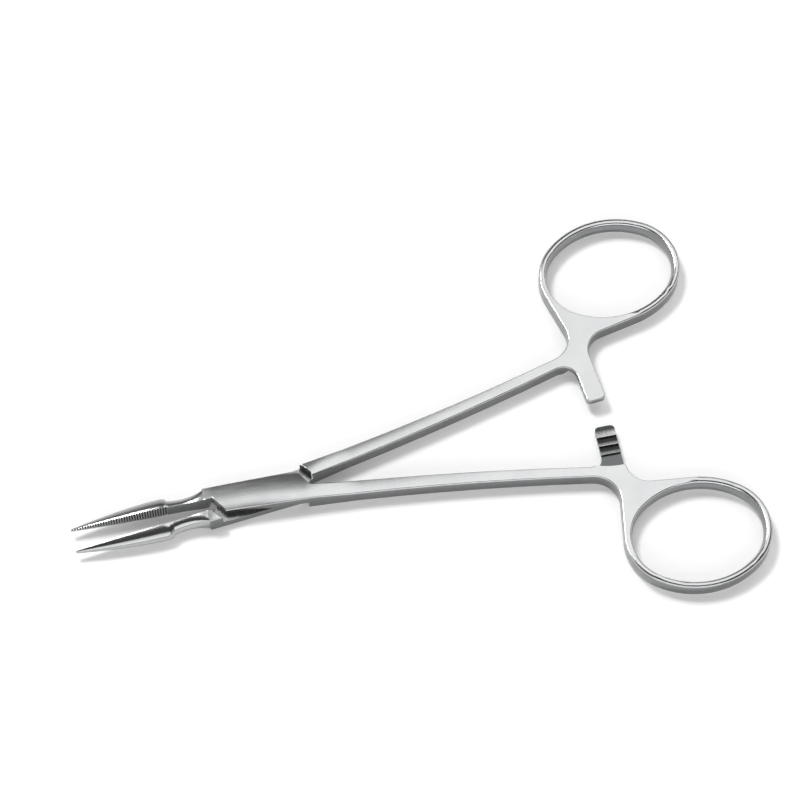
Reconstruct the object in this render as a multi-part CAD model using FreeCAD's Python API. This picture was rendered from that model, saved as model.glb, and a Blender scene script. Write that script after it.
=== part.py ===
import FreeCAD, Part
import math
import os

# Splinter forceps with finger rings, a half lap joint and a finger ratchet, in millimetres.
# The two halves are one forging pattern: the inner half is the outer half turned over
# about the long axis, so every shape below is drawn once, in the half frame.
# Half frame: pivot at the origin, mid plane of the joint at z 0, closed position,
# jaws towards -x and rings towards +x, with the handle on the -y side.
# Part frame: pivot axis on z, table at z 0, the halves opened evenly about the x axis.

vector = FreeCAD.Vector
origin = vector(0, 0, 0)
across = vector(0, 0, 1)

# Overall sizes
closed_length = 135.0
tip_reach = 38.2            # pivot to jaw tips
joint_thickness = 4.4
handle_thickness = 3.6
rest_opening = 6.6          # degrees between the halves as they lie at rest
sliding_gap = 0.04          # between the two flat faces of the lap
handle_bevel = 0.3          # width of the rounded-off edges along the handles
joint_bevel = 0.22          # width of the polished bevel round the joint

# Lap joint, with widths measured from the pivot line
plate_far_width = 3.15      # plate edge on the jaw's side, at the pivot
plate_far_flare = 0.012     # width gained for each millimetre towards the rings
plate_near_width = 2.95     # plate edge on the handle's side, at the pivot
plate_near_flare = 0.045
shoulder_reach = 9.1        # pivot to the shoulders of the recess
shoulder_angle = 55.6       # degrees between a shoulder and the long axis
plate_end_reach = 7.9       # pivot to the free end of the plate, jaw side
plate_corner_reach = 8.05   # pivot to the free corner of the plate, ring side
plate_hollow_back = 0.3     # hollow of the plate's ring side end, towards the pivot
plate_hollow_side = 0.41
crotch_reach = 10.0
crotch_drop = 0.3           # crotch to the closing line
handle_joint = 10.4         # pivot to where the handle is joined on
neck_side = 0.55            # closing line to the inner face of the neck

# Jaw
beak_length = 17.8          # tip to the beak's widest place
tip_width = 0.42
tip_height = 0.8
beak_width = 2.75
beak_height = 3.8
beak_fullness = 1.5         # exponent of the taper, above 1 the beak is convex
tip_relief = 0.03           # closing line to the grip face at the tip
grip_relief = 0.5           # closing line to the grip face at the back of the beak
heel_length = 1.5           # widest place to the beak's rounded back
heel_width = 2.2
heel_height = 3.3
heel_round = 75             # degrees the heel turns inwards before its flat back
neck_waist = 1.8
neck_height = 3.5
neck_fore_width = 2.1       # where the neck leaves the beak
waist_place = 0.35          # share of the neck's length
block_start = -11.6         # where the neck runs into the joint
neck_overlap = 0.3          # length of the neck inside the beak and inside the joint
neck_clearance = 0.05       # neck below the faces of the joint block where it meets them
round_section = 0.42        # share of a section's side left straight, half round
square_section = 0.88       # and nearly square
beak_steps = 10             # sections along the beak
heel_steps = 4
neck_steps = 6
serration_pitch = 0.52
serration_depth = 0.2
serration_land = 0.05       # flat left between two grooves

# Shank, with edges measured from the closing line
shank_root = 18.0           # pivot to where the shank has thinned to the handle's thickness
shank_bow_start = 19.5      # pivot to where the shank's straight edges begin to bow
shank_inner_slope = 0.105
shank_outer_slope = 0.086
shank_inner_end = 8.2       # at the ratchet bar
shank_outer_end = 10.8      # at the corner of the web

# Finger ring and web
ring_half_length = 14.65
ring_half_width = 11.9
ring_band = 1.35
ring_end_radius = 9.2       # inside the ring, at its two ends
ring_offset = 25.65         # closing line to the middle of the ring
web_far_slope = 6.0         # degrees, edge of the web from the bar to the ring
web_near_slope = 9.0        # degrees, edge of the web from the shank to the ring
web_far_radius = 4.6
web_near_radius = 5.2
bar_foot_radius = 2.8

# Ratchet bar
bar_setback = 12.5          # middle of the ring back to the middle of the bar
bar_width = 4.0
bar_overlap = 1.5           # how far the bar reaches past the closing line
bar_corner = 0.9
tooth_pitch = 1.95
tooth_depth = 0.55
tooth_count = 3
tooth_lead = 2.45           # end of the bar back to the first crest
tooth_undercut = 0.08       # lean of a tooth's steep face
crest_gap = 0.05            # crest to the mid plane
pocket_reach = 7.3          # closing line to the near end of the ground pocket
pocket_bow = 1.1
pocket_margin = 1.0         # how far the grinding runs out past the bar

# Joint screw
screw_diameter = 2.5
screw_head_diameter = 3.8
screw_head_height = 0.8
screw_clearance = 0.03
screw_thread_length = 1.7
screw_slot_width = 0.55
screw_slot_depth = 0.4
screw_set_back = 0.05       # head below the resting face

# Places that follow from the sizes
half_joint = joint_thickness / 2
half_handle = handle_thickness / 2
ring_x = closed_length - tip_reach - ring_half_length
ring_y = -ring_offset
bar_x = ring_x - bar_setback
bar_left = bar_x - bar_width / 2
bar_right = bar_x + bar_width / 2
beak_widest = beak_length - tip_reach
beak_back = beak_widest + heel_length
neck_start = beak_back - neck_overlap
neck_end = block_start + neck_overlap
lap_face = sliding_gap / 2
near_enough = 0.01          # within this an edge counts as lying on a face


def line(*points):
    return [Part.makeLine(vector(*a), vector(*b)) for a, b in zip(points, points[1:])]


def arc(start, through, end):
    return Part.Arc(vector(*start), vector(*through), vector(*end)).toShape()


def leaving_arc(start, direction, end):
    """Arc from start to end that leaves start in the given direction."""
    a, b = vector(*start), vector(*end)
    chord = b - a
    side = across.cross(vector(*direction).normalize())
    radius = chord.Length ** 2 / (2 * chord.dot(side))
    centre = a + side * radius
    through = centre + ((a + b) / 2 - centre).normalize() * abs(radius)
    return Part.Arc(a, through, b).toShape()


def prism(edges, low, high):
    """Solid between two heights, from edges of a closed outline in any order."""
    face = Part.Face(Part.Wire(Part.__sortEdges__(edges)))
    face.translate(across * low)
    return face.extrude(across * (high - low))


def round_upright(body, x, y, radius):
    """Round the upright edge nearest to a point of the outline."""
    def distance(edge):
        ends = [v.Point for v in edge.Vertexes]
        upright = len(ends) == 2 and abs(ends[0].z - ends[1].z) > half_handle
        return (vector(x, y, 0) - vector(ends[0].x, ends[0].y, 0)).Length if upright else closed_length
    return body.makeFillet(radius, [min(body.Edges, key=distance)])


def far_edge(x):
    return plate_far_width + plate_far_flare * x


def near_edge(x):
    """Outer edge of the plate and of the shank's root, on the handle's side."""
    if x <= handle_joint:
        return -plate_near_width - plate_near_flare * x
    return near_edge(handle_joint) - shank_outer_slope * (x - handle_joint)


def closing_edge(x):
    """Inner edge of the shank's root, from the crotch on."""
    return -crotch_drop - shank_inner_slope * (x - crotch_reach)


def slant_x(reach, y):
    """Where a slanting end of the joint, reach from the pivot, crosses height y."""
    turn = math.radians(shoulder_angle)
    return (reach + y * math.cos(turn)) / math.sin(turn)


# Finger ring: an oval of four arcs, two round its ends and two along its sides

def oval_centres():
    """How far the end arcs' middles lie along x and the side arcs' along y, and the side radius."""
    width = ring_half_width - ring_band
    along = ring_half_length - ring_band - ring_end_radius
    side_radius = (along ** 2 + width ** 2 - ring_end_radius ** 2) / (2 * (width - ring_end_radius))
    return along, side_radius - width, side_radius


def oval_point(centre_x, centre_y, radius, degrees):
    turn = math.radians(degrees)
    return (ring_x + centre_x + radius * math.cos(turn), ring_y + centre_y + radius * math.sin(turn), 0)


def oval_arcs(grow, start, end):
    """Clockwise arcs of the oval, grown outwards, between two directions of its normal."""
    along, down, side_radius = oval_centres()
    corner = math.degrees(math.atan2(down, along))
    stretches = [
        (180 - corner, corner, 0, -down, side_radius),
        (corner, -corner, along, 0, ring_end_radius),
        (-corner, corner - 180, 0, down, side_radius),
        (corner - 180, -corner - 180, -along, 0, ring_end_radius),
    ]
    arcs = []
    for high, low, x, y, radius in stretches:
        first, last = min(high, start), max(low, end)
        turns = (first, (first + last) / 2, last)
        arcs.append(arc(*[oval_point(x, y, radius + grow, turn) for turn in turns]))
    return arcs


def ring_hole():
    along, down, side_radius = oval_centres()
    corner = math.degrees(math.atan2(down, along))
    return prism(oval_arcs(0, 180 - corner, -corner - 180), -half_joint, half_joint)


# Handle: shank, ratchet bar, web and ring in one

def web_far_end():
    """Where the web's edge from the bar touches the ring."""
    along, down, side_radius = oval_centres()
    return oval_point(0, -down, side_radius + ring_band, 90 - web_far_slope)


def web_near_end():
    """Where the web's edge from the shank touches the ring."""
    along, down, side_radius = oval_centres()
    return oval_point(-along, 0, ring_end_radius + ring_band, 180 - web_near_slope)


def web_far_corner():
    x, y, z = web_far_end()
    return (bar_right, y + (x - bar_right) * math.tan(math.radians(web_far_slope)), 0)


def web_near_corner():
    x, y, z = web_near_end()
    return (x - (shank_outer_end + y) * math.tan(math.radians(web_near_slope)), -shank_outer_end, 0)


def handle_outline():
    """Outline of the handle past the shank's root, with sharp corners, clockwise from the root."""
    inner_root = (shank_root, closing_edge(shank_root), 0)
    inner_bow = (shank_bow_start, closing_edge(shank_bow_start), 0)
    outer_root = (shank_root, near_edge(shank_root), 0)
    outer_bow = (shank_bow_start, near_edge(shank_bow_start), 0)
    bar_foot = (bar_left, -shank_inner_end, 0)
    return (
        [leaving_arc(inner_bow, (1, -shank_inner_slope, 0), bar_foot)]
        + line(bar_foot, (bar_left, bar_overlap, 0), (bar_right, bar_overlap, 0))
        + line((bar_right, bar_overlap, 0), web_far_corner(), web_far_end())
        + oval_arcs(ring_band, 90 - web_far_slope, -180 - web_near_slope)
        + line(web_near_end(), web_near_corner())
        + [leaving_arc(outer_bow, (1, -shank_outer_slope, 0), web_near_corner())]
        + line(outer_bow, outer_root, inner_root, inner_bow)
    )


def rim_edges(body):
    """Edges round the top and bottom faces of the handle, without its cut end."""
    chosen = []
    for edge in body.Edges:
        middle = edge.valueAt((edge.FirstParameter + edge.LastParameter) / 2)
        points = [v.Point for v in edge.Vertexes] + [middle]
        on_face = all(abs(p.z) > half_handle - near_enough for p in points)
        if on_face and middle.x > shank_root + near_enough:
            chosen.append(edge)
    return chosen


def handle():
    body = prism(handle_outline(), -half_handle, half_handle)
    body = round_upright(body, bar_left, -shank_inner_end, bar_foot_radius)
    body = round_upright(body, bar_left, bar_overlap, bar_corner)
    body = round_upright(body, bar_right, bar_overlap, bar_corner)
    body = round_upright(body, *web_far_corner()[:2], web_far_radius)
    body = round_upright(body, *web_near_corner()[:2], web_near_radius)
    body = body.cut(ring_hole())
    return body.makeChamfer(handle_bevel, rim_edges(body))


def shank_section(x, half_thickness, bevel, outer_slope):
    """Cross section of the shank: a bar whose four corners are taken off square to its edges."""
    inner, outer = closing_edge(x), near_edge(x)
    inner_bevel = bevel * math.hypot(1, shank_inner_slope)
    outer_bevel = bevel * math.hypot(1, outer_slope)
    upper = [
        (inner, half_thickness - bevel), (inner - inner_bevel, half_thickness),
        (outer + outer_bevel, half_thickness), (outer, half_thickness - bevel),
    ]
    corners = upper + [(y, -z) for y, z in reversed(upper)]
    return Part.makePolygon([vector(x, y, z) for y, z in corners + corners[:1]])


def shank_base():
    """The shank's root, thinning from the joint to the handle."""
    start = shank_section(handle_joint, half_joint, joint_bevel, plate_near_flare)
    end = shank_section(shank_root, half_handle, handle_bevel, shank_outer_slope)
    return Part.makeLoft([start, end], True, True)


# Joint: the plate, and the full thickness blocks past its two shoulders

def joint_outline():
    corner = (plate_corner_reach, far_edge(plate_corner_reach), 0)
    crotch = (crotch_reach, closing_edge(crotch_reach), 0)
    middle_x = (corner[0] + crotch[0]) / 2
    middle_y = (corner[1] + crotch[1]) / 2
    hollow = (middle_x - plate_hollow_back, middle_y - plate_hollow_side, 0)
    heel_x = -slant_x(plate_end_reach, -plate_near_width)
    heel_x = -slant_x(plate_end_reach, near_edge(heel_x))
    return (
        line((block_start, far_edge(block_start), 0), corner)
        + [arc(corner, hollow, crotch)]
        + line(
            crotch,
            (handle_joint, closing_edge(handle_joint), 0),
            (handle_joint, near_edge(handle_joint), 0),
            (heel_x, near_edge(heel_x), 0),
            (-slant_x(plate_end_reach, neck_side), neck_side, 0),
            (block_start, neck_side, 0),
            (block_start, far_edge(block_start), 0),
        )
    )


def lap_recess():
    """Room under the plate, between the two shoulders, for the other half's plate."""
    length = 2 * closed_length
    corner = vector(-shoulder_reach, -length / 2, lap_face - joint_thickness)
    box = Part.makeBox(2 * shoulder_reach, length, joint_thickness, corner)
    box.rotate(origin, across, shoulder_angle - 90)
    return box


def bevel_edges(body):
    """Edges round the joint's flat outer faces, without the two ends that are joined on."""
    chosen = []
    for edge in body.Edges:
        middle = edge.valueAt((edge.FirstParameter + edge.LastParameter) / 2)
        points = [v.Point for v in edge.Vertexes] + [middle]
        on_face = all(abs(p.z) > half_joint - near_enough for p in points)
        if on_face and block_start + near_enough < middle.x < handle_joint - near_enough:
            chosen.append(edge)
    return chosen


def joint_block():
    body = prism(joint_outline(), -half_joint, half_joint).cut(lap_recess()).Solids[0]
    return body.makeChamfer(joint_bevel, bevel_edges(body))


# Jaw: a pointed half round beak with a rounded heel, and the waisted neck that carries it

def jaw_section(x, inner, width, height, straight):
    """A closed section: flat on the closing side and bowed outside, squarer as straight nears 1."""
    half_height = height / 2
    upper = [(inner + width, half_height * straight), (inner + width * straight, half_height), (inner, half_height)]
    poles = [(y, -z) for y, z in reversed(upper)] + upper
    bow = Part.BSplineCurve()
    bow.buildFromPoles([vector(x, y, z) for y, z in poles], False, 2)
    return Part.Wire([bow.toShape(), Part.makeLine(bow.EndPoint, bow.StartPoint)])


def grip_side(x):
    """Closing line to the grip face, which leans away from it towards the back."""
    share = (x + tip_reach) / beak_length
    return tip_relief + (grip_relief - tip_relief) * share


def beak_station(share):
    """Section of the beak, share running from 0 at the tip to 1 at its widest place."""
    x = beak_length * share - tip_reach
    full = 1 - (1 - share) ** beak_fullness
    width = tip_width + (beak_width - tip_width) * full
    height = tip_height + (beak_height - tip_height) * full
    return jaw_section(x, grip_side(x), width, height, round_section)


def heel_station(share):
    """Section of the beak's heel, share running from 0 at its widest place to 1 at its back."""
    x = beak_widest + heel_length * share
    round_off = 1 - math.sqrt(1 - share ** 2)
    width = beak_width - (beak_width - heel_width) * round_off
    height = beak_height - (beak_height - heel_height) * round_off
    return jaw_section(x, grip_side(x), width, height, round_section)


def neck_station(share):
    """Section of the neck, share running from 0 in the beak to 1 in the joint block."""
    x = neck_start + (neck_end - neck_start) * share
    fore = max(0, 1 - share / waist_place) ** 2
    aft = max(0, (share - waist_place) / (1 - waist_place)) ** 2
    block_width = far_edge(block_start) - neck_side - neck_clearance
    block_height = joint_thickness - 2 * neck_clearance
    width = neck_waist + (neck_fore_width - neck_waist) * fore + (block_width - neck_waist) * aft
    height = neck_height + (block_height - neck_height) * aft
    return jaw_section(x, neck_side, width, height, round_section + (square_section - round_section) * aft)


def jaw():
    beak = [beak_station(step / beak_steps) for step in range(beak_steps + 1)]
    turns = [heel_round * (step + 1) / heel_steps for step in range(heel_steps)]
    heel = [heel_station(math.sin(math.radians(turn))) for turn in turns]
    neck = [neck_station(step / neck_steps) for step in range(neck_steps + 1)]
    return Part.makeLoft(beak + heel, True, True).fuse(Part.makeLoft(neck, True, False))


def serrations():
    """Cross grooves over the whole grip face."""
    grooves = []
    mouth = serration_depth * serration_land / (serration_pitch - serration_land)
    count = int((beak_length + heel_length) / serration_pitch)
    for number in range(count):
        middle = (number + 0.5) * serration_pitch - tip_reach
        face = grip_side(middle)
        left = (middle - serration_pitch / 2, face - mouth, 0)
        right = (middle + serration_pitch / 2, face - mouth, 0)
        root = (middle, face + serration_depth, 0)
        grooves.append(prism(line(left, right, root, left), -half_joint, half_joint))
    return Part.makeCompound(grooves)


# Ratchet: a pocket ground into the bar down to the tooth roots, and the teeth left in it

def pocket():
    left = bar_left - bar_foot_radius
    right = bar_right + pocket_margin
    far = bar_overlap + pocket_margin
    near = (left, -pocket_reach, 0)
    deep = ((left + right) / 2, -pocket_reach - pocket_bow, 0)
    end = (right, -pocket_reach - pocket_bow, 0)
    edges = line(near, (left, far, 0), (right, far, 0), end) + [arc(near, deep, end)]
    return prism(edges, -crest_gap - tooth_depth, half_joint)


def tooth(crest_y, foot_y):
    """One tooth: a ramp that rises from foot_y to the crest, and a steep face that holds."""
    low = -crest_gap - tooth_depth
    left = bar_left - bar_foot_radius
    points = [(left, foot_y, low), (left, crest_y, -crest_gap), (left, crest_y - tooth_undercut, low)]
    profile = Part.makePolygon([vector(*p) for p in points + points[:1]])
    return Part.Face(profile).extrude(vector(bar_right + pocket_margin - left, 0, 0))


def ratchet_room():
    """What is ground away above the teeth."""
    room = pocket()
    foot = bar_overlap + pocket_margin
    crest = bar_overlap - tooth_lead
    for number in range(tooth_count):
        room = room.cut(tooth(crest, foot))
        foot = crest - tooth_undercut
        crest = crest - tooth_pitch
    return room


# The two halves and the screw, as they lie on the table

def half():
    """One half, closed, before its screw holes."""
    body = joint_block().fuse(shank_base()).fuse(handle()).fuse(jaw())
    return body.cut(ratchet_room()).cut(serrations())


def upright_cylinder(radius, low, high):
    return Part.makeCylinder(radius, high - low, vector(0, 0, low))


def place(body, degrees):
    body.rotate(origin, across, degrees)
    body.translate(across * half_joint)
    return body


def outer_half():
    """The half whose plate lies on top: it holds the screw's thread in a blind hole."""
    hole = upright_cylinder(screw_diameter / 2, lap_face, lap_face + screw_thread_length)
    return place(half().cut(hole), -rest_opening / 2)


def inner_half():
    """The half beneath: it turns on the screw, whose head is let into its outer face."""
    body = half()
    body.rotate(origin, vector(1, 0, 0), 180)
    bore = upright_cylinder(screw_diameter / 2 + screw_clearance, -half_joint, 0)
    head_top = screw_head_height + screw_set_back + sliding_gap - half_joint
    seat = upright_cylinder(screw_head_diameter / 2 + screw_clearance, -half_joint, head_top)
    return place(body.cut(bore).cut(seat), rest_opening / 2)


def joint_screw():
    head_bottom = screw_set_back - half_joint
    head_top = head_bottom + screw_head_height
    head = upright_cylinder(screw_head_diameter / 2, head_bottom, head_top)
    shank = upright_cylinder(screw_diameter / 2, head_bottom, lap_face + screw_thread_length)
    slot = Part.makeBox(
        2 * screw_head_diameter, screw_slot_width, screw_slot_depth,
        vector(-screw_head_diameter, -screw_slot_width / 2, head_bottom),
    )
    return place(head.fuse(shank).cut(slot), -rest_opening / 2)


def export(name, shape):
    solids = shape.Solids
    solid = solids[0] if len(solids) == 1 else Part.makeCompound(solids)
    solid.exportStep(os.path.join("parts", name + ".step"))


os.makedirs("parts", exist_ok=True)
export("outer_half", outer_half())
export("inner_half", inner_half())
export("joint_screw", joint_screw())
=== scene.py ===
import bpy
import bmesh
import math
from mathutils import Matrix, Vector


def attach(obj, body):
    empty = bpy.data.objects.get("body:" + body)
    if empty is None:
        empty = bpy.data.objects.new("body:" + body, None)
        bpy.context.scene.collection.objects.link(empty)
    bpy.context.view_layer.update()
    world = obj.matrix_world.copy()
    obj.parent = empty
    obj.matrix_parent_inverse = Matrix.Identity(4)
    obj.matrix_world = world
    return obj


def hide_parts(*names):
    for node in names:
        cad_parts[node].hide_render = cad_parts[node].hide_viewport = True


# Scissor forceps of forged, ground and polished stainless steel, lying on a white table.
# Metres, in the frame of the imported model: pivot axis on z, table at z 0, rings towards +x.

mm = 0.001

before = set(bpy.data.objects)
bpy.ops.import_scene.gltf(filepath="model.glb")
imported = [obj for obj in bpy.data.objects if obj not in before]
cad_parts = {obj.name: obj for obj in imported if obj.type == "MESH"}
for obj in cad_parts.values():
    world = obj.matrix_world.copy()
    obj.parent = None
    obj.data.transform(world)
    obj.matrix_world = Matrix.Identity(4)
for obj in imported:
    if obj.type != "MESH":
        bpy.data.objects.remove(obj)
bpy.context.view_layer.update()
scene = bpy.context.scene
scene.view_settings.view_transform = "Standard"

# Camera
camera_target = Vector((31.5, 12.6, 4.0)) * mm
camera_distance = 620 * mm
camera_azimuth = -14.99         # degrees, the instrument's length against the picture's width
camera_elevation = 63.15
camera_lens = 139.5

# Places along a half, in millimetres from the pivot towards the rings, for its finish
joint_half_thickness = 2.2
rest_half_opening = 3.3         # degrees a half is turned from closed
jaw_end = -11.6                 # where the neck of the jaw runs into the joint
grip_end = -18.5                # back of the serrations
bar_start = 64.5                # the ratchet bar, from its foot to its far side
bar_end = 73.5
ring_middle = Vector((82.15, -25.65))
ring_end_centre, ring_end_radius = 4.1, 9.2     # the two arcs round the ends of the finger hole
ring_side_centre, ring_side_radius = 5.55, 16.1  # and the two along its sides
ring_band = 1.35
ring_bulge = 0.3                # how far the ring's inner wall swells towards the finger
ring_wall_half_height = 1.5
web_start, web_end = 84, 189    # degrees round the ring between which the web joins it
shank_end = 60.0                # where the shank begins to widen into the web
hole_cuts = 4                   # cuts from the middle of the hole's wall to its rim

# Serrations and ratchet, whose ground pocket lies round the teeth
groove_depth = 0.2
tooth_crest, tooth_depth = -0.05, 0.55
crest_wear = 0.12               # how far use has rounded the ratchet's crests
pocket_margin = 1.0
pocket_near = -9.0
pocket_floor, pocket_rim = -1.2, 0.3

# Crown left by belt grinding on the flats of the plate and the shank, in millimetres
crown_radius = 24.0
crown_cut = 0.35                # spacing of the cuts that let the flats bend
crown_step = 2.0
crown_run_in = 3.0
crown_run_out = 12.0
crown_reach = 3.4
flat_far_side, flat_span = 4.0, 16.0    # widest run of the flats across the half
root_start, root_end = 8.5, 19.5    # where the flats thin from the joint to the shank
root_drop = 0.4

# The jaw's rounded surface, in millimetres: its sections run from the tip to the joint
tip_reach = 38.2
beak_length = 17.8
tip_width, tip_height = 0.42, 0.8
beak_width, beak_height = 2.75, 3.8
beak_fullness = 1.5
tip_relief, grip_relief = 0.03, 0.5
heel_length = 1.5
heel_width, heel_height = 2.2, 3.3
heel_round = 75                 # degrees
neck_waist, neck_height = 1.8, 3.5
neck_fore_width, neck_side = 2.1, 0.55
neck_aft_width, neck_aft_height = 2.41, 4.3
neck_overlap = 0.3
waist_place = 0.35
round_section, square_section = 0.42, 0.88
skin_cut = 0.6                  # spacing of the cuts that refine the rounded surface
skin_heights = (0.4, 0.8, 1.2, 1.6)
skin_tolerance = 0.06           # furthest a point is brought onto the true curve
curve_steps = 12

# How squarely a face has to face a direction, as the cosine of the angle between them
flat_facing = 0.98
end_facing = 0.95
bevel_facing = (0.6, 0.8)
same_skin_facing = 0.8
same_face_angle = 50            # degrees up to which neighbours are shaded as one surface

# Finishes, as sRGB colours, and the grain in millimetres
satin_steel_light = "#B6B7B7"
satin_steel_dark = "#A5A6A7"
# Painted highlight: the bevels are drawn lighter than the flats.
buffed_edge_highlight = "#C6C6C7"
# Painted shade: the side walls are drawn darker than the ground flats.
tumbled_wall_shade_light = "#909192"
tumbled_wall_shade_dark = "#7E7F80"
# Painted highlight on the crests and painted shade deeper in the teeth, mixed by depth below the crests.
milled_crest_highlight = "#CFCFD0"
milled_root_shade = "#5A5C5D"
turned_steel = "#B4B6B9"
grain_length, grain_width = 6.0, 0.2
table_white = "#FAFAFA"


def linear(hex_colour):
    """An sRGB hex colour as linear RGBA."""
    values = [int(hex_colour[i:i + 2], 16) / 255 for i in (1, 3, 5)]
    values = [v / 12.92 if v <= 0.04045 else ((v + 0.055) / 1.055) ** 2.4 for v in values]
    return (*values, 1)


def add(tree, kind, inputs=None, **settings):
    """Adds a node with its settings; each input is a value or the socket that feeds it."""
    made = tree.nodes.new(kind)
    for name, value in settings.items():
        setattr(made, name, value)
    for name, value in (inputs or {}).items():
        if isinstance(value, bpy.types.NodeSocket):
            tree.links.new(value, made.inputs[name])
        else:
            made.inputs[name].default_value = value
    return made


def new_material(name):
    material = bpy.data.materials.new(name)
    material.use_nodes = True
    material.node_tree.nodes.clear()
    return material, material.node_tree


def satin_ground_steel():
    """Forged stainless steel, belt ground to a satin grain along each arm and round each ring.

    The real grain is about 0.02 mm wide, too fine to show, so it is drawn 0.2 mm wide and 6 mm long.
    The bevels are polished on a buffing wheel after grinding, so they are smoother than the flats beside
    them; their lighter colour is a painted highlight along the edges.
    """
    material, tree = new_material("satin_ground_stainless_steel")
    along = add(tree, "ShaderNodeUVMap", uv_map="grain")
    stretched = add(tree, "ShaderNodeMapping", {
        "Vector": along.outputs[0], "Scale": (1 / grain_length, 1 / grain_width, 1),
    })
    grain = add(tree, "ShaderNodeTexNoise", {"Vector": stretched.outputs[0], "Scale": 1, "Detail": 3})
    place = add(tree, "ShaderNodeTexCoord").outputs["Object"]
    cloud = add(tree, "ShaderNodeTexNoise", {"Vector": place, "Scale": 150, "Detail": 3})
    # Lighter on the bevels as a painted highlight; their lower roughness is the buffing.
    buffed_highlight = add(tree, "ShaderNodeAttribute", attribute_name="buffed_highlight").outputs["Fac"]
    tone = add(tree, "ShaderNodeMix", {
        0: cloud.outputs[0], 6: linear(satin_steel_dark), 7: linear(satin_steel_light),
    }, data_type="RGBA")
    tone = add(tree, "ShaderNodeMix", {
        0: buffed_highlight, 6: tone.outputs[2], 7: linear(buffed_edge_highlight),
    }, data_type="RGBA")
    rough = add(tree, "ShaderNodeMapRange", {"Value": grain.outputs[0], "To Min": 0.13, "To Max": 0.23})
    rough = add(tree, "ShaderNodeMix", {0: buffed_highlight, 2: rough.outputs[0], 3: 0.18})
    bump = add(tree, "ShaderNodeBump", {
        "Height": grain.outputs[0], "Strength": 0.12, "Distance": 0.02 * mm,
    })
    steel = add(tree, "ShaderNodeBsdfPrincipled", {
        "Base Color": tone.outputs[2], "Metallic": 1, "Roughness": rough.outputs[0],
        "Normal": bump.outputs[0],
    })
    add(tree, "ShaderNodeOutputMaterial", {"Surface": steel.outputs[0]})
    return material


def tumbled_steel_with_painted_shade():
    """Stainless steel finished in a tumbler with fine stones, left on the side walls.

    It is even and dull, and its colour, darker than the ground flats, is painted shade on the side walls.
    """
    material, tree = new_material("tumbled_steel_painted_shade")
    place = add(tree, "ShaderNodeTexCoord").outputs["Object"]
    stones = add(tree, "ShaderNodeTexNoise", {"Vector": place, "Scale": 4000, "Detail": 2})
    cloud = add(tree, "ShaderNodeTexNoise", {"Vector": place, "Scale": 200, "Detail": 3})
    # Darker than the satin flats as painted shade; the cloud between the two is random tone.
    tone = add(tree, "ShaderNodeMix", {
        0: cloud.outputs[0], 6: linear(tumbled_wall_shade_dark), 7: linear(tumbled_wall_shade_light),
    }, data_type="RGBA")
    rough = add(tree, "ShaderNodeMapRange", {"Value": stones.outputs[0], "To Min": 0.2, "To Max": 0.32})
    bump = add(tree, "ShaderNodeBump", {
        "Height": stones.outputs[0], "Strength": 0.1, "Distance": 0.02 * mm,
    })
    steel = add(tree, "ShaderNodeBsdfPrincipled", {
        "Base Color": tone.outputs[2], "Metallic": 1, "Roughness": rough.outputs[0],
        "Normal": bump.outputs[0],
    })
    add(tree, "ShaderNodeOutputMaterial", {"Surface": steel.outputs[0]})
    return material


def milled_steel_painted_shade():
    """Stainless steel as the cutter left it, in the serrations and the ratchet.

    Use has rounded the crests, and they are drawn lighter as a painted highlight. Below them the flanks are
    drawn darker with depth as painted shade, dull and with fine cutter lines.
    """
    material, tree = new_material("milled_steel_shade_and_highlight")
    place = add(tree, "ShaderNodeTexCoord").outputs["Object"]
    across = add(tree, "ShaderNodeMapping", {"Vector": place, "Scale": (4000, 600, 600)})
    lines = add(tree, "ShaderNodeTexNoise", {"Vector": across.outputs[0], "Scale": 1, "Detail": 2})
    depth = add(tree, "ShaderNodeAttribute", attribute_name="depth").outputs["Fac"]
    # Darker with depth below the crests: painted shade in the teeth, painted highlight on the crests.
    below = add(tree, "ShaderNodeMapRange", {"Value": depth, "From Min": 0.2, "From Max": 0.45})
    tone = add(tree, "ShaderNodeMix", {
        0: below.outputs[0], 6: linear(milled_crest_highlight), 7: linear(milled_root_shade),
    }, data_type="RGBA")
    rough = add(tree, "ShaderNodeMapRange", {"Value": lines.outputs[0], "To Min": 0.22, "To Max": 0.36})
    bump = add(tree, "ShaderNodeBump", {
        "Height": lines.outputs[0], "Strength": 0.3, "Distance": 0.02 * mm,
    })
    steel = add(tree, "ShaderNodeBsdfPrincipled", {
        "Base Color": tone.outputs[2], "Metallic": 1, "Roughness": rough.outputs[0],
        "Normal": bump.outputs[0],
    })
    add(tree, "ShaderNodeOutputMaterial", {"Surface": steel.outputs[0]})
    return material


def turned_screw_steel():
    """Stainless bar turned on a lathe: fine rings round the screw's axis, which is the pivot."""
    material, tree = new_material("turned_stainless_steel")
    place = add(tree, "ShaderNodeTexCoord").outputs["Object"]
    rings = add(tree, "ShaderNodeTexWave", {
        "Vector": place, "Scale": 1600, "Distortion": 0.4, "Detail": 1,
    }, wave_type="RINGS", rings_direction="Z")
    rough = add(tree, "ShaderNodeMapRange", {
        "Value": rings.outputs["Fac"], "To Min": 0.18, "To Max": 0.32,
    })
    bump = add(tree, "ShaderNodeBump", {
        "Height": rings.outputs["Fac"], "Strength": 0.15, "Distance": 0.02 * mm,
    })
    steel = add(tree, "ShaderNodeBsdfPrincipled", {
        "Base Color": linear(turned_steel), "Metallic": 1, "Roughness": rough.outputs[0],
        "Normal": bump.outputs[0],
    })
    add(tree, "ShaderNodeOutputMaterial", {"Surface": steel.outputs[0]})
    return material


# The two halves, each worked on in its own half frame, in millimetres, as one forging pattern

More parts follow.
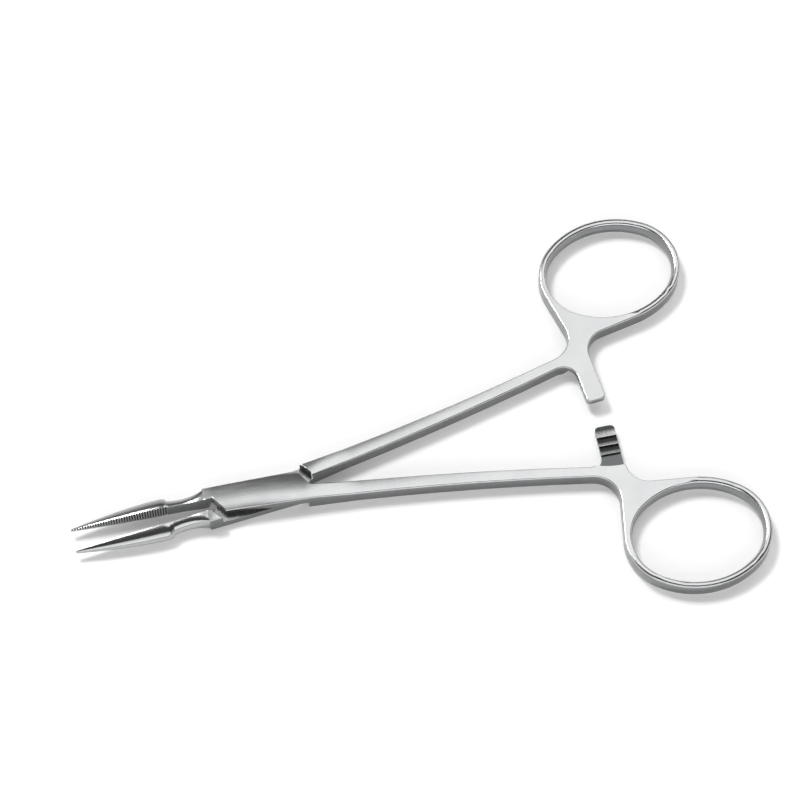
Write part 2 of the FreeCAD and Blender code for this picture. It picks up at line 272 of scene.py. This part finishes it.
def half_frame(turned_over):
    """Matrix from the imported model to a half's own frame: closed, mid plane at z 0, handle towards -y."""
    down = Matrix.Translation((0, 0, -joint_half_thickness))
    size = Matrix.Scale(1 / mm, 4)
    turn = math.radians(-rest_half_opening if turned_over else rest_half_opening)
    flip = Matrix.Rotation(math.pi if turned_over else 0, 4, "X")
    return flip @ Matrix.Rotation(turn, 4, "Z") @ down @ size


def smooth_step(value, start, end):
    share = min(1, max(0, (value - start) / (end - start)))
    return share * share * (3 - 2 * share)


def jaw_section(x):
    """Inner edge, width, height and squareness of the jaw's section at x."""
    widest = beak_length - tip_reach
    back = widest + heel_length
    if x < widest:
        share = max(0, (x + tip_reach) / beak_length)
        full = 1 - (1 - share) ** beak_fullness
        inner = tip_relief + (grip_relief - tip_relief) * share
        width = tip_width + (beak_width - tip_width) * full
        return inner, width, tip_height + (beak_height - tip_height) * full, round_section
    if x < back:
        share = min(math.sin(math.radians(heel_round)), (x - widest) / heel_length)
        off = 1 - math.sqrt(1 - share ** 2)
        inner = tip_relief + (grip_relief - tip_relief) * (x + tip_reach) / beak_length
        width = beak_width - (beak_width - heel_width) * off
        return inner, width, beak_height - (beak_height - heel_height) * off, round_section
    start, end = back - neck_overlap, jaw_end + neck_overlap
    share = min(1, (x - start) / (end - start))
    fore = max(0, 1 - share / waist_place) ** 2
    aft = max(0, (share - waist_place) / (1 - waist_place)) ** 2
    width = neck_waist + (neck_fore_width - neck_waist) * fore + (neck_aft_width - neck_waist) * aft
    height = neck_height + (neck_aft_height - neck_height) * aft
    return neck_side, width, height, round_section + (square_section - round_section) * aft


def section_curve(x):
    """Points and outward normals along the bowed side of the section at x, from its widest place up."""
    inner, width, height, straight = jaw_section(x)
    half = height / 2
    wide = Vector((inner + width, 0))
    shoulder = Vector((inner + width, half * straight))
    crest = Vector((inner + width * straight, half))
    middle = (shoulder + crest) / 2
    points = []
    for a, b, c in ((wide, shoulder, middle), (middle, crest, Vector((inner, half)))):
        for step in range(curve_steps + 1):
            t = step / curve_steps
            place = a * (1 - t) ** 2 + b * 2 * t * (1 - t) + c * t * t
            run = (b - a) * (1 - t) + (c - b) * t
            points.append((place, Vector((run.y, -run.x)).normalized()))
    return points


def nearest_on_section(x, y, z):
    """Nearest point of the section's bowed side, its normal, and how far outside it the point is."""
    sought = Vector((y, abs(z)))
    best = None
    curve = section_curve(x)
    for (a, normal_a), (b, normal_b) in zip(curve, curve[1:]):
        run = b - a
        share = min(1, max(0, (sought - a).dot(run) / run.length_squared)) if run.length > 0 else 0
        place = a + run * share
        away = (sought - place).length
        if best is None or away < best[0]:
            best = (away, place, normal_a.lerp(normal_b, share))
    away, place, normal = best
    side = math.copysign(1, z)
    outside = (sought - place).dot(normal)
    return Vector((place.x, place.y * side)), Vector((normal.x, normal.y * side)), outside


def skin_normal(point):
    """Normal of the jaw's rounded surface at a point on it."""
    x, y, z = point
    step = 0.05
    place, normal, outside = nearest_on_section(x, y, z)
    ahead = nearest_on_section(x + step, y, z)[2]
    behind = nearest_on_section(x - step, y, z)[2]
    slope = (ahead - behind) / (2 * step) * (1 - smooth_step(x, jaw_end - crown_run_in, jaw_end))
    return Vector((slope, normal.x, normal.y)).normalized()


def is_skin(face):
    """Whether a face belongs to the jaw's rounded surface, not to its grip or its ends."""
    x, y, z = face.calc_center_median()
    if x > jaw_end or abs(face.normal.x) > end_facing or x < -tip_reach + 0.01:
        return False
    inner = jaw_section(x)[0]
    return not (abs(face.normal.z) < 0.05 and y < inner + 0.3)


def is_flat(face):
    """Whether a face lies on the upper or lower flat of the joint, the shank or its root."""
    x, y, z = face.calc_center_median()
    outer = abs(z) > 1.5 and abs(face.normal.z) > flat_facing
    return outer and jaw_end < x < shank_end + crown_step


def cut_faces(work, chosen, place, direction):
    parts = set(chosen)
    for face in chosen:
        parts.update(face.edges)
        parts.update(face.verts)
    bmesh.ops.bisect_plane(work, geom=list(parts), dist=1e-4, plane_co=place, plane_no=direction)


def middle_line(work):
    """Middle of the upper flat at each cut along the half, smoothed."""
    count = int((shank_end - jaw_end) / crown_step)
    stations = []
    for number in range(count + 1):
        x = jaw_end + crown_step * number
        upper = [v.co for v in work.verts if v.co.z > joint_half_thickness * 0.75]
        on_cut = [place.y for place in upper if abs(place.x - x) < 1e-3]
        stations.append((min(on_cut) + max(on_cut)) / 2 if on_cut else None)
    known = [y for y in stations if y is not None]
    stations = [known[0] if y is None else y for y in stations]
    smooth = []
    for number in range(len(stations)):
        window = stations[max(0, number - 4):number + 5]
        smooth.append(sum(window) / len(window))
    return smooth


def crown_share(x, y, middle):
    """Part of the half thickness that the belt has taken off at a place on the plate or the shank."""
    share = smooth_step(x, jaw_end, jaw_end + crown_run_in)
    share *= 1 - smooth_step(x, shank_end - crown_run_out, shank_end)
    place = min(len(middle) - 1.001, max(0, (x - jaw_end) / crown_step))
    low = int(place)
    axis = middle[low] + (middle[low + 1] - middle[low]) * (place - low)
    return share * min(crown_reach, abs(y - axis)) ** 2 / (2 * crown_radius * joint_half_thickness)


def flat_normal(point, middle):
    """Normal of the crowned flats, which thin smoothly from the joint to the shank."""
    def height(x, y):
        thickness = joint_half_thickness - root_drop * smooth_step(x, root_start, root_end)
        return thickness * (1 - crown_share(x, y, middle))
    x, y, z = point
    along = height(x + 0.5, y) - height(x - 0.5, y)
    across = (height(x, y + 0.1) - height(x, y - 0.1)) / 0.2
    return Vector((-along, -across, 1 if z > 0 else -1)).normalized()


def crown(work):
    """Thin the plate and the shank a little towards their edges, as the belt does."""
    for number in range(int((shank_end - jaw_end) / crown_step) + 1):
        x = jaw_end + crown_step * number
        cut_faces(work, [f for f in work.faces if is_flat(f)], (x, 0, 0), (1, 0, 0))
    for number in range(int(flat_span / crown_cut)):
        y = flat_far_side - crown_cut * number
        cut_faces(work, [f for f in work.faces if is_flat(f)], (0, y, 0), (0, 1, 0))
    middle = middle_line(work)
    for vertex in work.verts:
        x, y, z = vertex.co
        vertex.co.z = z * (1 - crown_share(x, y, middle))
    return middle


def refine_skin(work):
    """Cut the jaw's rounded surface finer and bring it onto its true curve."""
    for number in range(int((jaw_end + tip_reach) / skin_cut)):
        x = jaw_end - skin_cut * (number + 0.5)
        cut_faces(work, [f for f in work.faces if is_skin(f)], (x, 0, 0), (1, 0, 0))
    for height in skin_heights:
        for z in (-height, height):
            cut_faces(work, [f for f in work.faces if is_skin(f)], (0, 0, z), (0, 0, 1))
    work.normal_update()
    for vertex in work.verts:
        inside = vertex.link_faces and all(is_skin(face) for face in vertex.link_faces)
        if inside and vertex.co.x < jaw_end - neck_overlap:
            place = nearest_on_section(*vertex.co)[0]
            if (place - Vector((vertex.co.y, vertex.co.z))).length < skin_tolerance:
                vertex.co.y, vertex.co.z = place


def is_bevel(face):
    """Whether a face belongs to the polished bevels along the joint, the shank, the web and the ring, which
    are drawn lighter as a painted highlight.
    """
    low, high = bevel_facing
    return face.calc_center_median().x > jaw_end and low < abs(face.normal.z) < high


def is_milled(face):
    """Whether a face lies in the serrations or in the ratchet pocket."""
    x, y, z = face.calc_center_median()
    if x < grip_end:
        return not is_skin(face) and face.normal.x < end_facing
    heights = [vertex.co.z for vertex in face.verts]
    deep = pocket_floor < min(heights) and max(heights) < pocket_rim
    beside = bar_start - pocket_margin < x < bar_end and y > pocket_near
    return deep and beside and abs(face.normal.y) + abs(face.normal.z) > 0.9


def off_hole(point):
    """How far a point lies outside the edge of the finger hole, and its turn round the ring's middle."""
    x, y = abs(point.x - ring_middle.x), abs(point.y - ring_middle.y)
    if x * ring_side_centre < ring_end_centre * (y + ring_side_centre):
        away = math.hypot(x, y + ring_side_centre) - ring_side_radius
    else:
        away = math.hypot(x - ring_end_centre, y) - ring_end_radius
    return away, math.atan2(point.y - ring_middle.y, point.x - ring_middle.x)


def is_ring(face):
    """Whether a face belongs to the free band of the ring, whose top is rounded right across."""
    away, turn = off_hole(face.calc_center_median())
    at_web = web_start < math.degrees(turn) % 360 < web_end
    return -1 < away < ring_band + 0.1 and not at_web


def is_hole_wall(face):
    away = off_hole(face.calc_center_median())[0]
    return abs(away) < 0.1 and abs(face.normal.z) < 0.3


def swell_hole(work):
    """Round the inner wall of the finger ring, so that it swells towards the finger."""
    for number in range(1 - hole_cuts, hole_cuts):
        z = number * ring_wall_half_height / hole_cuts
        cut_faces(work, [f for f in work.faces if is_hole_wall(f)], (0, 0, z), (0, 0, 1))
    walls = {v for f in work.faces if is_hole_wall(f) for v in f.verts}
    along_x, along_y = Vector((0.01, 0, 0)), Vector((0, 0.01, 0))
    for vertex in walls:
        place = vertex.co
        share = max(0, 1 - (place.z / ring_wall_half_height) ** 2)
        slope_x = off_hole(place + along_x)[0] - off_hole(place - along_x)[0]
        slope_y = off_hole(place + along_y)[0] - off_hole(place - along_y)[0]
        inward = -Vector((slope_x, slope_y, 0)).normalized()
        vertex.co += inward * ring_bulge * share


def wear_crests(work):
    """Round the crests of the ratchet's teeth, which rub on the other half's teeth."""
    crests = []
    for edge in work.edges:
        a, b = (vertex.co for vertex in edge.verts)
        left, right = min(a.x, b.x), max(a.x, b.x)
        on_bar = bar_start - pocket_margin < left and right < bar_end + pocket_margin
        at_crest = max(abs(a.z - tooth_crest), abs(b.z - tooth_crest)) < 0.02
        across = right - left > 2 and a.y > pocket_near
        if on_bar and at_crest and across and edge.calc_face_angle(0) > 0.2:
            crests.append(edge)
    bmesh.ops.bevel(
        work, geom=crests, offset=crest_wear, segments=2, profile=0.5, affect="EDGES")


def finish_of(face):
    """Index of a face's finish: 0 satin ground, its bevels drawn lighter as painted highlight; 1 from the
    cutter, shaded by depth as painted shade and highlight; 2 from the tumbler, drawn darker as painted
    shade.
    """
    if is_milled(face):
        return 1
    ground = is_skin(face) or is_bevel(face) or abs(face.normal.z) > 0.6
    return 0 if ground else 2


def depth_below_crest(point):
    """How deep a point of the serrations or the ratchet lies below the crests, as a share."""
    if point.x < grip_end + 1:
        return min(1, max(0, (point.y - jaw_section(point.x)[0]) / groove_depth))
    return min(1, max(0, (tooth_crest - point.z) / tooth_depth))


def grain_place(point):
    """Place in the grain: along an arm and across it, or round a ring and away from its hole."""
    away, turn = off_hole(point)
    if away < ring_band + 0.1:
        return turn * (ring_end_radius + ring_end_centre), away + point.z
    return point.x, point.y + point.z


def corner_normals(work, middle):
    """Normals that keep the flats flat and round the bevels, the whole top of the ring and the jaw."""
    normals = []
    spread = math.cos(math.radians(same_face_angle))
    bevels = [is_bevel(face) and not is_ring(face) for face in work.faces]
    skins = [is_skin(face) for face in work.faces]
    flats = [is_flat(face) for face in work.faces]
    areas = [face.calc_area() for face in work.faces]
    known = {}
    for face in work.faces:
        for corner in face.loops:
            vertex = corner.vert
            if skins[face.index] and vertex.co.x < jaw_end + 0.01:
                if vertex.index not in known:
                    known[vertex.index] = skin_normal(vertex.co)
                if known[vertex.index].dot(face.normal) > same_skin_facing:
                    normals.append(known[vertex.index])
                    continue
            near_flat = bevels[face.index] and any(flats[other.index] for other in vertex.link_faces)
            if flats[face.index] or near_flat:
                normals.append(flat_normal(vertex.co, middle))
                continue
            total = Vector((0, 0, 0))
            plain = Vector((0, 0, 0))
            for other in vertex.link_faces:
                if face.normal.dot(other.normal) > spread:
                    share = other.normal * areas[other.index]
                    plain += share
                    if not bevels[other.index]:
                        total += share
            normals.append((total if total.length > 0 else plain).normalized())
    return normals


def steel_half(node, name, body, turned_over):
    """A dressed copy of a packed half: crowned, with rounded bevels, its grain and its finishes."""
    to_half = half_frame(turned_over)
    work = bmesh.new()
    work.from_mesh(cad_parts[node].data)
    bmesh.ops.remove_doubles(work, verts=work.verts, dist=0.001 * mm)
    work.transform(to_half)
    work.normal_update()
    middle = crown(work)
    refine_skin(work)
    swell_hole(work)
    wear_crests(work)
    bmesh.ops.triangulate(work, faces=[f for f in work.faces if len(f.verts) > 4])
    work.normal_update()
    work.faces.index_update()
    work.verts.index_update()
    grain = work.loops.layers.uv.new("grain")
    buffed_highlight = work.loops.layers.float.new("buffed_highlight")
    depth = work.verts.layers.float.new("depth")
    for face in work.faces:
        face.smooth = True
        # The side walls get steel drawn darker as painted shade, the teeth steel shaded by depth.
        face.material_index = finish_of(face)
        for corner in face.loops:
            # Marks the bevels for their painted highlight and their smoother buffing.
            corner[buffed_highlight] = 1 if is_bevel(face) else 0
            corner[grain].uv = grain_place(corner.vert.co)
    # Depth below the crests, which draws the painted shade in the teeth.
    for vertex in work.verts:
        vertex[depth] = depth_below_crest(vertex.co)
    normals = corner_normals(work, middle)
    back = to_half.inverted()
    turn = back.to_3x3().normalized()
    work.transform(back)
    mesh = bpy.data.meshes.new(name)
    work.to_mesh(mesh)
    work.free()
    for finish in (satin, milled_shade_and_highlight, tumbled_shaded):
        mesh.materials.append(finish)
    mesh.normals_split_custom_set([turn @ normal for normal in normals])
    piece = bpy.data.objects.new(name, mesh)
    scene.collection.objects.link(piece)
    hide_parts(node)
    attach(piece, body)
    return piece


satin = satin_ground_steel()
milled_shade_and_highlight = milled_steel_painted_shade()
tumbled_shaded = tumbled_steel_with_painted_shade()
turned = turned_screw_steel()

steel_half("outer_half", "outer_half_steel", "outer_half", False)
steel_half("inner_half", "inner_half_steel", "inner_half", True)

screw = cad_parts["joint_screw"]
if not screw.material_slots:
    screw.data.materials.append(turned)
for slot in screw.material_slots:
    slot.material = turned


# Table, light and camera, which aren't part of the instrument

def table_top():
    """Matt white board. It is drawn up to white for the camera and for gloss, and keeps the shadow.

    Far from the instrument, where the lamps don't reach, it is white by itself.
    """
    material, tree = new_material("matt_white_board")
    path = add(tree, "ShaderNodeLightPath")
    seen = add(tree, "ShaderNodeMath", {
        0: path.outputs["Is Camera Ray"], 1: path.outputs["Is Glossy Ray"],
    }, operation="MAXIMUM")
    seen = add(tree, "ShaderNodeMath", {
        0: seen.outputs[0], 1: path.outputs["Is Transmission Ray"],
    }, operation="MAXIMUM")
    place = add(tree, "ShaderNodeTexCoord").outputs["Object"]
    away = add(tree, "ShaderNodeVectorMath", {0: place}, operation="LENGTH")
    level = add(tree, "ShaderNodeMapRange", {
        "Value": away.outputs["Value"], "From Min": 0.2, "From Max": 0.7, "To Min": 0.14, "To Max": 1,
    })
    lift = add(tree, "ShaderNodeMath", {0: seen.outputs[0], 1: level.outputs[0]}, operation="MULTIPLY")
    matt = add(tree, "ShaderNodeBsdfDiffuse", {"Color": linear(table_white)})
    glow = add(tree, "ShaderNodeEmission", {"Color": (1, 1, 1, 1), "Strength": lift.outputs[0]})
    both = add(tree, "ShaderNodeAddShader", {0: matt.outputs[0], 1: glow.outputs[0]})
    add(tree, "ShaderNodeOutputMaterial", {"Surface": both.outputs[0]})
    return material


def table():
    mesh = bpy.data.meshes.new("table")
    reach = 3.0
    corners = [(-reach, -reach, 0), (reach, -reach, 0), (reach, reach, 0), (-reach, reach, 0)]
    mesh.from_pydata(corners, [], [(0, 1, 2, 3)])
    mesh.materials.append(table_top())
    board = bpy.data.objects.new("table", mesh)
    scene.collection.objects.link(board)


def on_table(right, up, height):
    """A point given as the picture sees the table: right, up and height above it, in metres."""
    turn = math.radians(camera_azimuth)
    across = Vector((math.cos(turn), math.sin(turn), 0))
    away = Vector((-math.sin(turn), math.cos(turn), 0))
    below_target = Vector((camera_target.x, camera_target.y, 0))
    return below_target + across * right + away * up + Vector((0, 0, height))


def soft_light(name, place, size, power, turn=0.0):
    """Lamp that faces the middle of the picture, its width turned from the picture's by turn degrees."""
    data = bpy.data.lights.new(name, "AREA")
    data.shape = "RECTANGLE"
    data.size, data.size_y = size
    data.energy = power
    light = bpy.data.objects.new(name, data)
    scene.collection.objects.link(light)
    light.location = on_table(*place)
    facing = (light.location - on_table(0, 0, 0)).normalized()
    turned = math.radians(camera_azimuth + turn)
    width = Vector((math.cos(turned), math.sin(turned), 0))
    width = (width - facing * width.dot(facing)).normalized()
    height = facing.cross(width)
    light.rotation_euler = Matrix((width, height, facing)).transposed().to_euler()
    return light


table()
soft_light("soft_box", (0.171, 0.296, 0.65), (0.55, 0.36), 1.12, 57)
soft_light("key", (-0.62, 0.66, 1.54), (0.46, 0.46), 18.5)
soft_light("front_fill", (0, -0.62, 0.42), (0.9, 0.45), 1.8)

def studio():
    """A dim room with pale walls: light from low down all round, little from above."""
    world = bpy.data.worlds.new("studio")
    scene.world = world
    world.use_nodes = True
    tree = world.node_tree
    tree.nodes.clear()
    direction = add(tree, "ShaderNodeTexCoord").outputs["Generated"]
    up = add(tree, "ShaderNodeSeparateXYZ", {0: direction}).outputs["Z"]
    walls = add(tree, "ShaderNodeMapRange", {
        "Value": up, "From Min": 0.3, "From Max": 0.6, "To Min": 0.8, "To Max": 0.08,
    })
    path = add(tree, "ShaderNodeLightPath")
    level = add(tree, "ShaderNodeMath", {
        0: walls.outputs[0], 1: path.outputs["Is Camera Ray"],
    }, operation="MAXIMUM")
    light = add(tree, "ShaderNodeBackground", {"Color": (1, 1, 1, 1), "Strength": level.outputs[0]})
    add(tree, "ShaderNodeOutputWorld", {"Surface": light.outputs[0]})


studio()

camera_data = bpy.data.cameras.new("camera")
camera_data.lens = camera_lens
camera_data.sensor_width = 36
camera_data.clip_start = 0.01
camera = bpy.data.objects.new("camera", camera_data)
scene.collection.objects.link(camera)
scene.camera = camera
turn, rise = math.radians(camera_azimuth), math.radians(camera_elevation)
back = Vector((math.sin(turn) * math.cos(rise), -math.cos(turn) * math.cos(rise), math.sin(rise)))
camera.location = camera_target + back * camera_distance
camera.rotation_euler = (-back).to_track_quat("-Z", "Y").to_euler()
